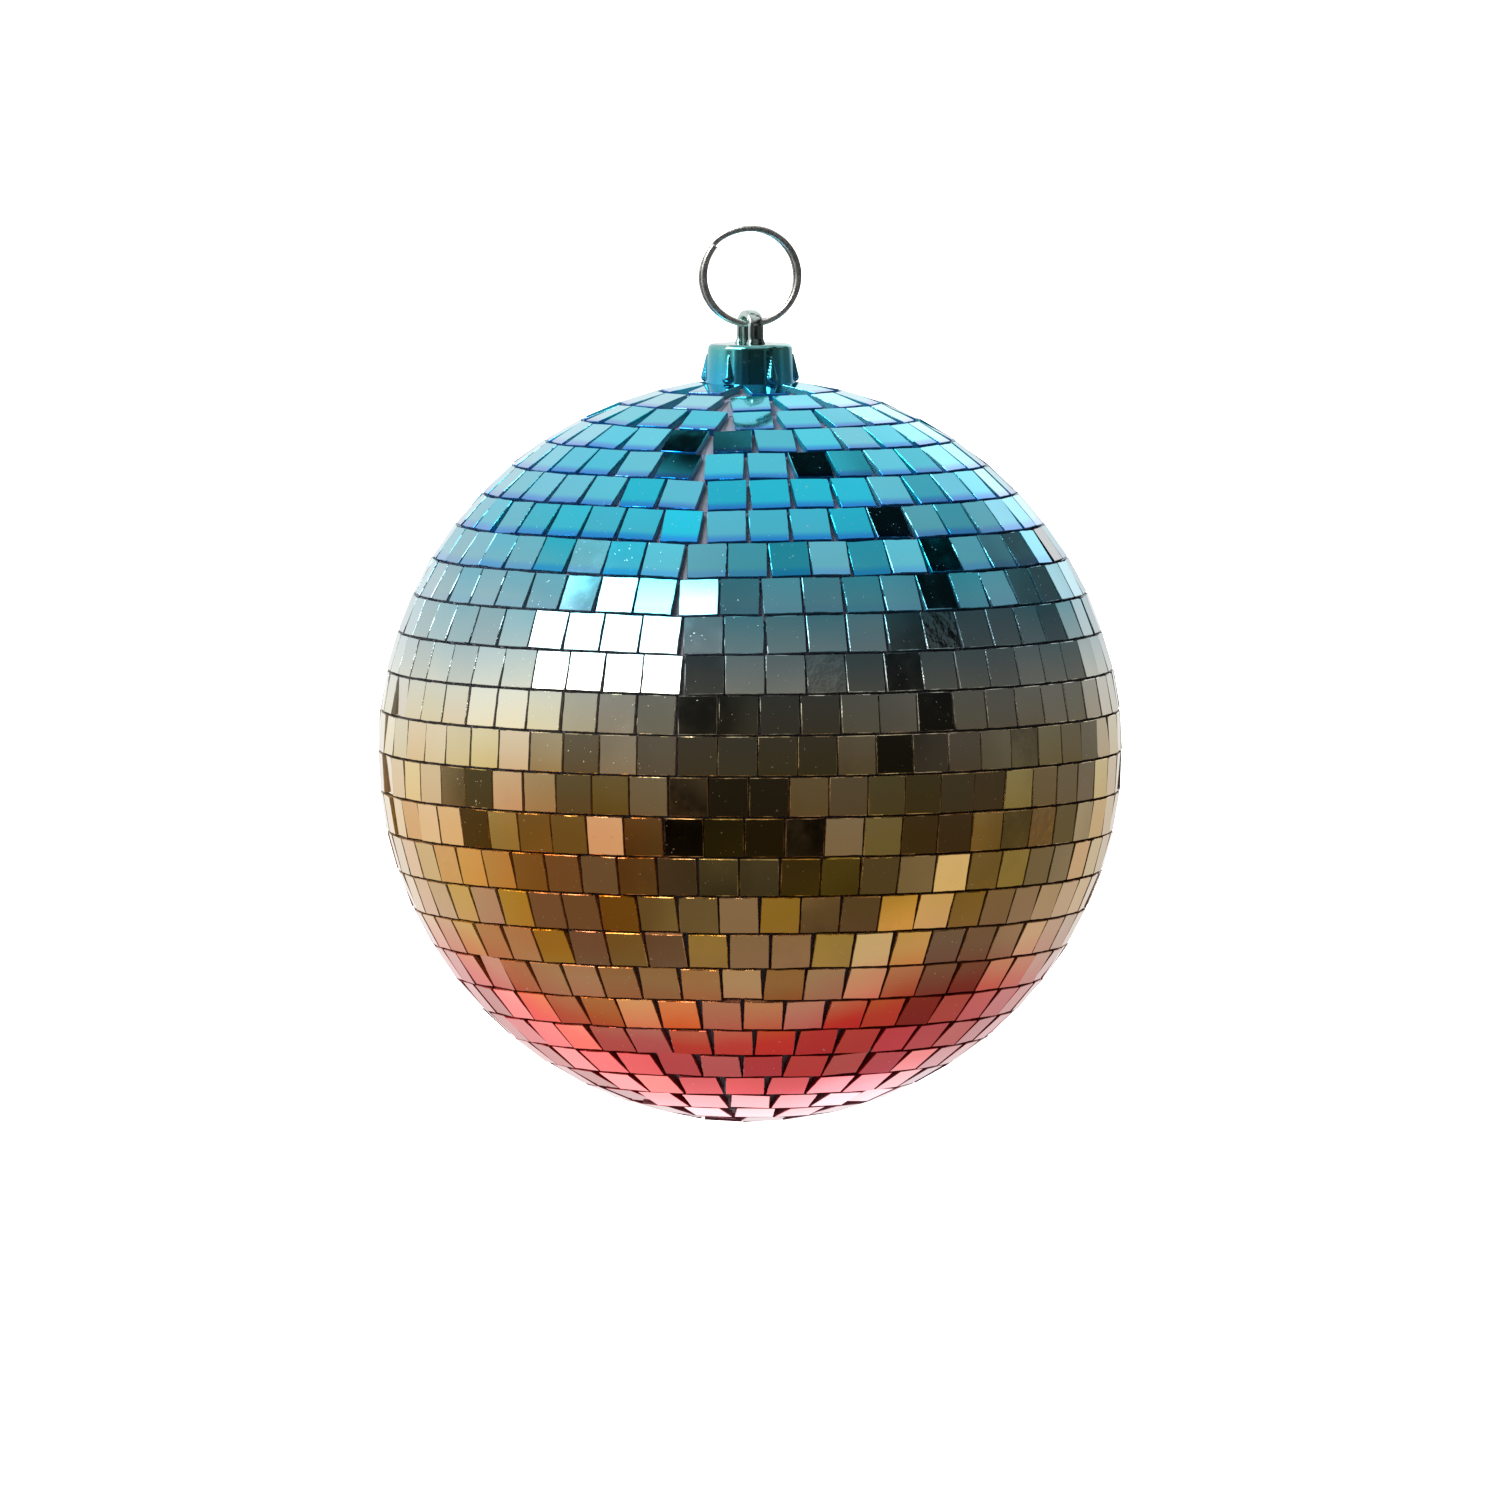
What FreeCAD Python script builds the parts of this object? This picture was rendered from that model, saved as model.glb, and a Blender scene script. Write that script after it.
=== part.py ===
"""Mirror ball, 15 cm: a hollow two-piece core tiled with small square mirrors in rows, closed at
the top by a plated cap with a loop, and hung from a split ring.

Millimetres, +Z up, the front faces -Y. The origin is the hang point: the place on the inside of
the split ring where a hook bears. Polar angles run from 0 at the cap to 180 at the bottom.
"""
import math
import os
import random

import FreeCAD
import Part

Vector = FreeCAD.Vector
Rotation = FreeCAD.Rotation

# ---------------------------------------------------------------- driving dimensions
# Split ring: two flat turns of wire, joined by a crossover
RING_RADIUS = 10.5
RING_WIRE_WIDTH = 1.3
RING_TURN_THICKNESS = 0.7
RING_TURN_GAP = 0.06
RING_TURN_SHIFT = 0.45        # the two turns lie a little out of line, the back one to the left
RING_EDGE_ROUNDING = 0.2
RING_YAW = 9.0
# Angles round the ring, anticlockwise from its right-hand side
FRONT_TURN_CUT = 140.0
CROSSOVER_START = 84.0
CROSSOVER_END = 132.0
BACK_TURN_CUT = 80.0

# Loop on top of the cap
LOOP_HOLE_RADIUS = 1.9
LOOP_OUTER_RADIUS = 3.45
LOOP_THICKNESS = 3.2
LOOP_EDGE_ROUNDING = 0.6
LOOP_YAW = 27.0
WIRE_ABOVE_CROWN = 0.55       # the wire's middle above the centre of the loop's round crown
CROWN_ABOVE_CAP = 3.5

# Cap
CAP_TOP_RADIUS = 8.7
CAP_FOOT_RADIUS = 9.3
CAP_WALL = 1.5
CAP_TOP_THICKNESS = 2.0
CAP_EDGE_ROUNDING = 1.0
CAP_BOSS_RADIUS = 3.4
RIB_COUNT = 6
RIB_FOOT_RADIUS = 1.5
RIB_TIP_RADIUS = 0.1
RIB_STANDS_OUT = 1.1           # how far a rib's foot stands out past the cap's lower rim
RIB_FOOT_ABOVE_RIM = 0.95      # the foot clears the tiles round the cap
RIB_START_BELOW_TOP = 2.2
CAP_TOP_TO_BALL_CENTRE = 84.1

# Hollow core, moulded in two halves that lap at the equator
CORE_RADIUS = 75.0
CORE_WALL = 2.0
SHOULDER_HEIGHT = 0.6         # the cap's seat round the neck stands proud of the sphere
SHOULDER_REACH = 9.5
NECK_RADIUS = 7.0
NECK_WALL = 2.0
NECK_TOP_BELOW_CAP_TOP = 5.1
LAP_HEIGHT = 4.0
LAP_CLEARANCE = 0.05

# Screw and washer that hold the cap, inside the neck
SCREW_RADIUS = 1.45
SCREW_HOLE_RADIUS = 1.7
SCREW_PILOT_RADIUS = 1.5
SCREW_HEAD_RADIUS = 2.8
SCREW_HEAD_HEIGHT = 2.0
SCREW_TIP_BELOW_CAP_TOP = 1.5
WASHER_RADIUS = 4.6
WASHER_THICKNESS = 0.8

# Mirror tiles on their woven backing
TILE = 7.92
TILE_THICKNESS = 1.5
CLOTH = 0.2
GLUE = 0.05
ROW_COUNT = 26
FIRST_ROW_POLAR = 7.6
ROW_GAP = 0.28
SIDE_GAP = 0.05
STRIP_GAP = 0.1               # between one cloth strip and the next
SEAM_AZIMUTH = -101.0         # where each strip's two ends meet, a little left of the front
SEAM_WANDER = 3.0
SEAM_GAP = 0.9                # near the cap; strips below the equator nearly close up
LOWER_SEAM_GAP = 0.25
SEAM_DIP = 1.1                # how far the ends of the upper strips droop towards the equator
SEAM_DIP_REACH = 36.0
FEW_TILES = 12                # a row shorter than this is simply spaced evenly
GROUP_TWIST = 1.2             # how far the end tiles of a group lean together
TILT_SPREAD = 1.0
TWIST_SPREAD = 0.15

# ---------------------------------------------------------------- positions that follow
RING_CENTRE_Z = -(RING_RADIUS - RING_WIRE_WIDTH)
WIRE_Z = RING_CENTRE_Z - (RING_RADIUS - RING_WIRE_WIDTH / 2)
CROWN_Z = WIRE_Z - WIRE_ABOVE_CROWN
CAP_TOP_Z = CROWN_Z - CROWN_ABOVE_CAP
BALL_Z = CAP_TOP_Z - CAP_TOP_TO_BALL_CENTRE
NECK_TOP_Z = CAP_TOP_Z - NECK_TOP_BELOW_CAP_TOP
SHOULDER_RADIUS = CORE_RADIUS + SHOULDER_HEIGHT
SEAT_RADIUS = CORE_RADIUS + CLOTH + GLUE
UP = Vector(0, 0, 1)


def polar_point(radius, polar):
    """A point of the front-facing half section, at a distance from the ball's centre."""
    return Vector(radius * math.sin(polar), 0, BALL_Z + radius * math.cos(polar))


def polar_arc(radius, start, end):
    """An arc about the ball's centre in the half section."""
    middle = (start + end) / 2
    points = [polar_point(radius, angle) for angle in (start, middle, end)]
    return Part.Arc(*points).toShape()


def straight_edges(points):
    """Edges that join the points in order."""
    return [Part.makeLine(first, second) for first, second in zip(points, points[1:])]


def revolve_section(edges, sweep=360.0):
    """The solid swept by a closed half section about the ball's upright axis."""
    section = Part.Face(Part.Wire(edges))
    return section.revolve(Vector(0, 0, 0), UP, sweep)


def cylinder(radius, bottom, top):
    """An upright cylinder on the ball's axis."""
    return Part.makeCylinder(radius, top - bottom, Vector(0, 0, bottom))


# ---------------------------------------------------------------- split ring
def wire_outline(angle, share):
    """The wire's rounded section, standing on the ring at an angle, in the ring's own frame.

    The share runs from 0 on the front turn to 1 on the back turn.
    """
    axial = (share - 0.5) * (RING_TURN_THICKNESS + RING_TURN_GAP)
    sideways = (0.5 - share) * RING_TURN_SHIFT
    rounding = RING_EDGE_ROUNDING
    bulge = rounding * (1 - math.sqrt(0.5))
    inner = RING_RADIUS - RING_WIRE_WIDTH
    outer = RING_RADIUS
    near = axial - RING_TURN_THICKNESS / 2
    far = axial + RING_TURN_THICKNESS / 2
    corners = [
        ((inner, near + rounding), (inner + bulge, near + bulge), (inner + rounding, near)),
        ((outer - rounding, near), (outer - bulge, near + bulge), (outer, near + rounding)),
        ((outer, far - rounding), (outer - bulge, far - bulge), (outer - rounding, far)),
        ((inner + rounding, far), (inner + bulge, far - bulge), (inner, far - rounding)),
    ]

    def place(pair):
        radial, depth = pair
        turn = math.radians(angle)
        return Vector(radial * math.cos(turn) + sideways, depth, radial * math.sin(turn))

    edges = []
    for corner, following in zip(corners, corners[1:] + corners[:1]):
        start, middle, end = [place(pair) for pair in corner]
        edges.append(Part.Arc(start, middle, end).toShape())
        edges.append(Part.makeLine(end, place(following[0])))
    return Part.Wire(edges)


def flat_turn(start, end, share):
    """One flat turn of the ring, anticlockwise between two angles as seen from the front."""
    section = Part.Face(wire_outline(start, share))
    centre = Vector((0.5 - share) * RING_TURN_SHIFT, 0, 0)
    return section.revolve(centre, Vector(0, -1, 0), end - start)


def crossover():
    """The short length where the wire passes from the front turn to the back turn."""
    steps = 8
    outlines = []
    for step in range(steps + 1):
        part_way = step / steps
        share = part_way * part_way * (3 - 2 * part_way)
        angle = CROSSOVER_START + part_way * (CROSSOVER_END - CROSSOVER_START)
        outlines.append(wire_outline(angle, share))
    return Part.makeLoft(outlines, True, False)


def split_ring():
    """Two turns of flat wire with a crossover, as on a key ring."""
    full_turn = 360.0
    front = flat_turn(FRONT_TURN_CUT, CROSSOVER_START + full_turn, 0.0)
    back = flat_turn(CROSSOVER_END, BACK_TURN_CUT + full_turn, 1.0)
    ring = front.fuse([crossover(), back]).removeSplitter()
    ring.rotate(Vector(0, 0, 0), UP, RING_YAW)
    ring.translate(Vector(0, 0, RING_CENTRE_Z))
    return ring


# ---------------------------------------------------------------- cap
def cap_foot_z():
    """Height of the cap's lower rim, which stands on the shoulder of the core."""
    rim_inner = CAP_FOOT_RADIUS - CAP_WALL
    return BALL_Z + math.sqrt(SHOULDER_RADIUS ** 2 - rim_inner ** 2) + LAP_CLEARANCE


def cap_shell():
    """The hollow tapered cap with a rounded top edge and a boss for the screw."""
    foot = cap_foot_z()
    under = CAP_TOP_Z - CAP_TOP_THICKNESS
    rounding = CAP_EDGE_ROUNDING
    bulge = rounding * (1 - math.sqrt(0.5))
    pilot_top = CAP_TOP_Z - SCREW_TIP_BELOW_CAP_TOP
    top_edge = Part.Arc(
        Vector(CAP_TOP_RADIUS - rounding, 0, CAP_TOP_Z),
        Vector(CAP_TOP_RADIUS - bulge, 0, CAP_TOP_Z - bulge),
        Vector(CAP_TOP_RADIUS, 0, CAP_TOP_Z - rounding),
    ).toShape()
    inside = [
        Vector(CAP_TOP_RADIUS, 0, CAP_TOP_Z - rounding),
        Vector(CAP_FOOT_RADIUS, 0, foot),
        Vector(CAP_FOOT_RADIUS - CAP_WALL, 0, foot),
        Vector(CAP_TOP_RADIUS - CAP_WALL, 0, under),
        Vector(CAP_BOSS_RADIUS, 0, under),
        Vector(CAP_BOSS_RADIUS, 0, NECK_TOP_Z),
        Vector(SCREW_PILOT_RADIUS, 0, NECK_TOP_Z),
        Vector(SCREW_PILOT_RADIUS, 0, pilot_top),
        Vector(0, 0, pilot_top),
        Vector(0, 0, CAP_TOP_Z),
        Vector(CAP_TOP_RADIUS - rounding, 0, CAP_TOP_Z),
    ]
    return revolve_section([top_edge] + straight_edges(inside))


def cap_loop():
    """The upright loop: a round crown on two short legs, with its edges rounded."""
    root = CAP_TOP_Z - CAP_TOP_THICKNESS / 2
    outer = LOOP_OUTER_RADIUS
    inner = LOOP_HOLE_RADIUS
    crown_top = Vector(0, 0, CROWN_Z + outer)
    hole_top = Vector(0, 0, CROWN_Z + inner)
    crown = Part.Arc(Vector(0, -outer, CROWN_Z), crown_top, Vector(0, outer, CROWN_Z))
    hole = Part.Arc(Vector(0, inner, CROWN_Z), hole_top, Vector(0, -inner, CROWN_Z))
    right_leg = [
        Vector(0, outer, CROWN_Z),
        Vector(0, outer, root),
        Vector(0, inner, root),
        Vector(0, inner, CROWN_Z),
    ]
    left_leg = [
        Vector(0, -inner, CROWN_Z),
        Vector(0, -inner, root),
        Vector(0, -outer, root),
        Vector(0, -outer, CROWN_Z),
    ]
    edges = [crown.toShape()] + straight_edges(right_leg)
    edges += [hole.toShape()] + straight_edges(left_leg)
    loop = Part.Face(Part.Wire(edges)).extrude(Vector(LOOP_THICKNESS, 0, 0))
    loop.translate(Vector(-LOOP_THICKNESS / 2, 0, 0))
    rims = [edge for edge in loop.Edges if edge.BoundBox.XLength < LOOP_EDGE_ROUNDING
            and edge.BoundBox.ZMax > CAP_TOP_Z]
    loop = loop.makeFillet(LOOP_EDGE_ROUNDING, rims)
    loop.rotate(Vector(0, 0, 0), UP, LOOP_YAW)
    return loop


def cap_rib(azimuth):
    """One teardrop rib, pointed above and widening to just over the tiles."""
    tip_z = CAP_TOP_Z - RIB_START_BELOW_TOP
    foot_z = cap_foot_z() + RIB_FOOT_ABOVE_RIM
    base = Vector(CAP_FOOT_RADIUS + RIB_STANDS_OUT - RIB_FOOT_RADIUS, 0, foot_z)
    rib = Part.makeCone(RIB_FOOT_RADIUS, RIB_TIP_RADIUS, tip_z - foot_z, base)
    rib.rotate(Vector(0, 0, 0), UP, azimuth)
    return rib


def cap():
    """The plated cap: shell, loop and ribs moulded as one."""
    front = -90.0
    spacing = 360.0 / RIB_COUNT
    ribs = [cap_rib(front + spacing * (place + 0.5)) for place in range(RIB_COUNT)]
    return cap_shell().fuse([cap_loop()] + ribs).removeSplitter()


# ---------------------------------------------------------------- core
def core_upper_shell():
    """The upper half of the core, with the neck that carries the cap and the inner lap."""
    equator = math.pi / 2
    shoulder_end = math.asin(SHOULDER_REACH / SHOULDER_RADIUS)
    inner_radius = CORE_RADIUS - CORE_WALL
    neck_inner = NECK_RADIUS - NECK_WALL
    neck_under = NECK_TOP_Z - NECK_WALL
    lap_radius = CORE_RADIUS - CORE_WALL / 2 - LAP_CLEARANCE
    neck_outer_polar = math.asin(NECK_RADIUS / SHOULDER_RADIUS)
    neck_inner_polar = math.asin(neck_inner / inner_radius)
    neck = [
        polar_point(SHOULDER_RADIUS, neck_outer_polar),
        Vector(NECK_RADIUS, 0, NECK_TOP_Z),
        Vector(SCREW_HOLE_RADIUS, 0, NECK_TOP_Z),
        Vector(SCREW_HOLE_RADIUS, 0, neck_under),
        Vector(neck_inner, 0, neck_under),
        polar_point(inner_radius, neck_inner_polar),
    ]
    lap = [
        polar_point(inner_radius, equator),
        Vector(inner_radius, 0, BALL_Z - LAP_HEIGHT),
        Vector(lap_radius, 0, BALL_Z - LAP_HEIGHT),
        Vector(lap_radius, 0, BALL_Z),
        polar_point(CORE_RADIUS, equator),
    ]
    edges = [polar_arc(CORE_RADIUS, equator, shoulder_end)]
    edges += straight_edges([
        polar_point(CORE_RADIUS, shoulder_end),
        polar_point(SHOULDER_RADIUS, shoulder_end),
    ])
    edges += [polar_arc(SHOULDER_RADIUS, shoulder_end, neck_outer_polar)]
    edges += straight_edges(neck)
    edges += [polar_arc(inner_radius, neck_inner_polar, equator)]
    edges += straight_edges(lap)
    return revolve_section(edges)


def core_lower_shell():
    """The lower half of the core, rebated at the rim to take the upper half's lap."""
    equator = math.pi / 2
    bottom = math.pi
    inner_radius = CORE_RADIUS - CORE_WALL
    rebate_radius = CORE_RADIUS - CORE_WALL / 2
    rebate_depth = LAP_HEIGHT + LAP_CLEARANCE
    rebate_polar = math.acos(-rebate_depth / inner_radius)
    edges = [polar_arc(CORE_RADIUS, equator, bottom)]
    edges += straight_edges([polar_point(CORE_RADIUS, bottom), polar_point(inner_radius, bottom)])
    edges += [polar_arc(inner_radius, bottom, rebate_polar)]
    edges += straight_edges([
        polar_point(inner_radius, rebate_polar),
        Vector(rebate_radius, 0, BALL_Z - rebate_depth),
        Vector(rebate_radius, 0, BALL_Z),
        polar_point(CORE_RADIUS, equator),
    ])
    return revolve_section(edges)


# ---------------------------------------------------------------- cap fixing
def load_washer():
    """The washer under the screw's head, against the roof of the neck."""
    top = NECK_TOP_Z - NECK_WALL
    disc = cylinder(WASHER_RADIUS, top - WASHER_THICKNESS, top)
    return disc.cut(cylinder(SCREW_HOLE_RADIUS, top - WASHER_THICKNESS, top))


def cap_screw():
    """The pan-head screw driven up through washer and neck into the cap's boss."""
    head_top = NECK_TOP_Z - NECK_WALL - WASHER_THICKNESS
    head_bottom = head_top - SCREW_HEAD_HEIGHT
    tip = CAP_TOP_Z - SCREW_TIP_BELOW_CAP_TOP - LAP_CLEARANCE
    slot_width = 0.7
    slot_depth = 1.0
    shank = cylinder(SCREW_RADIUS, head_top, tip)
    screw = cylinder(SCREW_HEAD_RADIUS, head_bottom, head_top).fuse(shank)
    for quarter in (0, 90):
        slot = Part.makeBox(
            2 * SCREW_RADIUS, slot_width, slot_depth,
            Vector(-SCREW_RADIUS, -slot_width / 2, head_bottom),
        )
        slot.rotate(Vector(0, 0, 0), UP, quarter)
        screw = screw.cut(slot)
    return screw


# ---------------------------------------------------------------- mirror tiles
def half_tile_angle():
    """Half the angle one flat tile takes up on the ball."""
    return math.atan(TILE / 2 / SEAT_RADIUS)


def row_polar_angles():
    """Polar angle of the middle of every row, from the cap down.

    A flat tile's corners hang lower than the middle of its edge, most of all near the ends of
    the ball, so the rows there are set a little further apart.
    """
    half_tile = half_tile_angle()
    polar = math.radians(FIRST_ROW_POLAR) + half_tile
    angles = []
    for _ in range(ROW_COUNT):
        angles.append(polar)
        edge = polar + half_tile
        corner_sag = (TILE / 2) ** 2 / (2 * SEAT_RADIUS * abs(math.tan(edge)))
        polar = edge + (ROW_GAP + corner_sag) / SEAT_RADIUS + half_tile
    return angles


def row_boundaries():
    """Polar angles of the lines between rows, with the outer edges of the first and last."""
    centres = row_polar_angles()
    half_tile = half_tile_angle()
    between = [(above + below) / 2 for above, below in zip(centres, centres[1:])]
    return [centres[0] - half_tile] + between + [centres[-1] + half_tile]


def seam_azimuth(row):
    """Where a row's strip begins and ends; it wanders from row to row."""
    wander = random.Random(row).uniform(-SEAM_WANDER, SEAM_WANDER)
    return math.radians(SEAM_AZIMUTH + wander)


def seam_gap(polar):
    """The gap left where a row's two ends meet."""
    return LOWER_SEAM_GAP + (SEAM_GAP - LOWER_SEAM_GAP) * max(0.0, math.cos(polar))


def seam_droop(row, polar, azimuth):
    """How far a tile sits below its row near the strip's ends, and its turn in its own plane.

    The first row stays level, against the cap.
    """
    if row == 0:
        return 0.0, 0.0
    turn = azimuth - seam_azimuth(row)
    turn = math.atan2(math.sin(turn), math.cos(turn))
    along = SEAT_RADIUS * math.sin(polar) * turn / SEAM_DIP_REACH
    nearness = max(0.0, 1 - abs(along))
    depth = SEAM_DIP * max(0.0, math.cos(polar))
    slope = 2 * depth * nearness / SEAM_DIP_REACH
    return depth * nearness ** 2, math.copysign(slope, along)


def group_twists(count, polar, rng):
    """In-plane turn of each tile: two or three neighbours lie nearer to parallel, as a group."""
    convergence = 2 * math.pi / count * math.cos(polar)
    if count < FEW_TILES:
        return [0.0] * count
    limit = min(math.radians(GROUP_TWIST), abs(convergence) / 4)
    twists = []
    while len(twists) < count:
        group = rng.choice((2, 2, 3))
        for place in range(group):
            lean = 1 - 2 * place / (group - 1)
            twists.append(math.copysign(limit, convergence) * lean)
    return twists[:count]


def row_layout(row, polar):
    """Azimuth and in-plane turn of every tile in a row, from one strip end to the other."""
    rng = random.Random(row)
    side = math.copysign(1.0, math.cos(polar))
    edge_radius = SEAT_RADIUS * math.sin(polar) - TILE / 2 * abs(math.cos(polar))
    tight_step = 2 * math.atan((TILE + SIDE_GAP) / 2 / edge_radius)
    seam_extra = seam_gap(polar) / edge_radius
    count = int((2 * math.pi - seam_extra) / tight_step)
    start = seam_azimuth(row)
    if count < FEW_TILES:
        even_step = 2 * math.pi / count
        return [(start + even_step * (place + 0.5), 0.0) for place in range(count)]

    while True:
        twists = group_twists(count, polar, rng)
        for place in range(count):
            azimuth = start + 2 * math.pi * (place + 0.5) / count
            twists[place] += seam_droop(row, polar, azimuth)[1]
        steps = []
        for first, second in zip(twists, twists[1:]):
            opening = side * (second - first)
            steps.append(tight_step + TILE / 2 * opening / edge_radius)
        spare = 2 * math.pi - sum(steps) - tight_step - seam_extra
        if spare >= 0:
            break
        count -= 1

    azimuth = start + (tight_step + seam_extra) / 2
    layout = [(azimuth, twists[0])]
    for step, twist in zip(steps, twists[1:]):
        azimuth += step + spare / len(steps)
        layout.append((azimuth, twist))
    return layout


def tile(polar, azimuth, twist, rng):
    """One square of mirror glass, bedded at its place on the ball and a little out of true."""
    turn = math.degrees(twist) + rng.uniform(-TWIST_SPREAD, TWIST_SPREAD)
    tilt_down = rng.uniform(-TILT_SPREAD, TILT_SPREAD)
    tilt_across = rng.uniform(-TILT_SPREAD, TILT_SPREAD)
    down = Vector(1, 0, 0)
    across = Vector(0, 1, 0)
    placed = Rotation(UP, math.degrees(azimuth)) * Rotation(across, math.degrees(polar))
    rotation = placed * Rotation(UP, turn) * Rotation(down, tilt_across) * Rotation(across, tilt_down)
    square = Part.makeBox(TILE, TILE, TILE_THICKNESS, Vector(-TILE / 2, -TILE / 2, 0))
    centre = placed.multVec(Vector(0, 0, SEAT_RADIUS)) + Vector(0, 0, BALL_Z)
    square.Placement = FreeCAD.Placement(centre, rotation)
    return square


def tile_row(row, polar):
    """All the tiles of one row, each a separate piece of glass."""
    rng = random.Random(1000 + row)
    squares = []
    for azimuth, twist in row_layout(row, polar):
        drop = seam_droop(row, polar, azimuth)[0]
        squares.append(tile(polar + drop / SEAT_RADIUS, azimuth, twist, rng))
    return Part.makeCompound(squares)


def bottom_tiles():
    """Two by two tiles that close the bottom, their corners towards the last row's gaps."""
    rng = random.Random(ROW_COUNT)
    last_layout = row_layout(ROW_COUNT - 1, row_polar_angles()[-1])
    gap_azimuth = (last_layout[0][0] + last_layout[1][0]) / 2
    from_pole = math.sqrt(2) * (TILE + SIDE_GAP) / 2 / SEAT_RADIUS
    eighth_turn = math.pi / 4
    squares = []
    for quarter in range(4):
        azimuth = gap_azimuth + quarter * math.pi / 2
        squares.append(tile(math.pi - from_pole, azimuth, eighth_turn, rng))
    return Part.makeCompound(squares)


# ---------------------------------------------------------------- woven backing
def cloth_strip(row, boundaries):
    """The strip of woven cloth that one row of tiles is glued to."""
    outer = CORE_RADIUS + CLOTH
    trim = STRIP_GAP / 2 / CORE_RADIUS
    top = boundaries[row] + trim
    bottom = boundaries[row + 1] - trim
    edges = [polar_arc(outer, top, bottom)]
    edges += straight_edges([polar_point(outer, bottom), polar_point(CORE_RADIUS, bottom)])
    edges += [polar_arc(CORE_RADIUS, bottom, top)]
    edges += straight_edges([polar_point(CORE_RADIUS, top), polar_point(outer, top)])
    slit = math.degrees(seam_gap(top) / (CORE_RADIUS * math.sin(top)))
    strip = revolve_section(edges, 360.0 - slit)
    strip.rotate(Vector(0, 0, 0), UP, math.degrees(seam_azimuth(row)) + slit / 2)
    return strip


def cloth_patch(boundaries):
    """The round patch of cloth under the bottom tiles."""
    bottom = math.pi
    top = boundaries[-1] + STRIP_GAP / CORE_RADIUS
    outer = CORE_RADIUS + CLOTH
    edges = [polar_arc(outer, top, bottom)]
    edges += straight_edges([polar_point(outer, bottom), polar_point(CORE_RADIUS, bottom)])
    edges += [polar_arc(CORE_RADIUS, bottom, top)]
    edges += straight_edges([polar_point(CORE_RADIUS, top), polar_point(outer, top)])
    return revolve_section(edges)


def backing(first_row, last_row):
    """The cloth strips of a run of rows, as separate pieces."""
    boundaries = row_boundaries()
    strips = [cloth_strip(row, boundaries) for row in range(first_row, last_row)]
    if last_row == ROW_COUNT:
        strips.append(cloth_patch(boundaries))
    return Part.makeCompound(strips)


# ---------------------------------------------------------------- export
def export(node, shape):
    """Write one node's STEP file."""
    shape.exportStep("parts/" + node + ".step")


def main():
    os.makedirs("parts", exist_ok=True)
    export("split_ring", split_ring())
    export("cap", cap())
    export("cap_screw", cap_screw())
    export("load_washer", load_washer())
    export("core_upper_shell", core_upper_shell())
    export("core_lower_shell", core_lower_shell())
    middle_row = ROW_COUNT // 2
    export("upper_backing_strips", backing(0, middle_row))
    export("lower_backing_strips", backing(middle_row, ROW_COUNT))
    for row, polar in enumerate(row_polar_angles()):
        export("tile_row_%02d" % (row + 1), tile_row(row, polar))
    export("bottom_tiles", bottom_tiles())


main()
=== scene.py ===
"""Mirror ball, 15 cm: the finished looks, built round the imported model.

Metres, +Z up, the front faces -Y. Every mirror tile is remade as a hand-cut piece of glass: a
slightly bent silvered face, a rough cut edge and raw sides. The rows of tiles share one mirror
finish that fades from blue over silver and gold to pink down the ball.
"""

import math
import random

import bmesh
import bpy
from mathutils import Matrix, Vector


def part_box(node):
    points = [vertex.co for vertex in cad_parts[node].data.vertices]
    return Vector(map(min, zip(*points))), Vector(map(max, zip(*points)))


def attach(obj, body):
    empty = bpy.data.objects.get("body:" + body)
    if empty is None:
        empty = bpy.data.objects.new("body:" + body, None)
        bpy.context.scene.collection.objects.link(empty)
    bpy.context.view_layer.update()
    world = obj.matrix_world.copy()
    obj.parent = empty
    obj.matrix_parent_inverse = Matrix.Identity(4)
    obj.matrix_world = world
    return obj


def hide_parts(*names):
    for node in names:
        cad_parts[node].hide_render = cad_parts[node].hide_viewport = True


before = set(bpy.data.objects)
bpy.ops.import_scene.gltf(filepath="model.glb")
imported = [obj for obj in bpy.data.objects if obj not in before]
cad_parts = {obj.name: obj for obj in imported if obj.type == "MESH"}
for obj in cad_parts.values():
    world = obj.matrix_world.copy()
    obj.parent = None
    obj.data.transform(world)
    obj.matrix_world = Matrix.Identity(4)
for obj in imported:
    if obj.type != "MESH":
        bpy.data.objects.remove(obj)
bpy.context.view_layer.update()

# ---------------------------------------------------------------- sizes taken from the frame
UP = Vector((0, 0, 1))
core_low, core_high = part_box("core_lower_shell")
CORE_RADIUS = (core_high.x - core_low.x) / 2
BALL_CENTRE = Vector((0, 0, core_low.z + CORE_RADIUS))
ROW_NAMES = sorted(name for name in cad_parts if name.startswith("tile_row"))
TILE_NODES = ROW_NAMES + ["bottom_tiles"]
BALL_RADIUS = BALL_CENTRE.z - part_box("bottom_tiles")[0].z

# ---------------------------------------------------------------- cap and ring shape
MM = 0.001
cap_low, cap_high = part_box("cap")
CAP_FOOT = cap_low.z
LOOP_TOP = cap_high.z
LOOP_OUTER_RADIUS = 3.45 * MM
LOOP_HOLE_RADIUS = 1.9 * MM
LOOP_THICKNESS = 3.2 * MM
LOOP_YAW = math.radians(27)
LOOP_SQUARENESS = 3.6         # how full the bar's section is: 2 is an oval
LOOP_ROOT_FLARE = 0.25        # how much thicker the bar is where it leaves the cap
LOOP_SECTION_POINTS = 28
CROWN_ABOVE_CAP = 3.5 * MM
CROWN_Z = LOOP_TOP - LOOP_OUTER_RADIUS
CAP_TOP = CROWN_Z - CROWN_ABOVE_CAP
CAP_TOP_RADIUS = 8.7 * MM
CAP_FOOT_RADIUS = 9.3 * MM
CAP_WALL = 1.5 * MM
CAP_ROOF = 2.0 * MM
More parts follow.
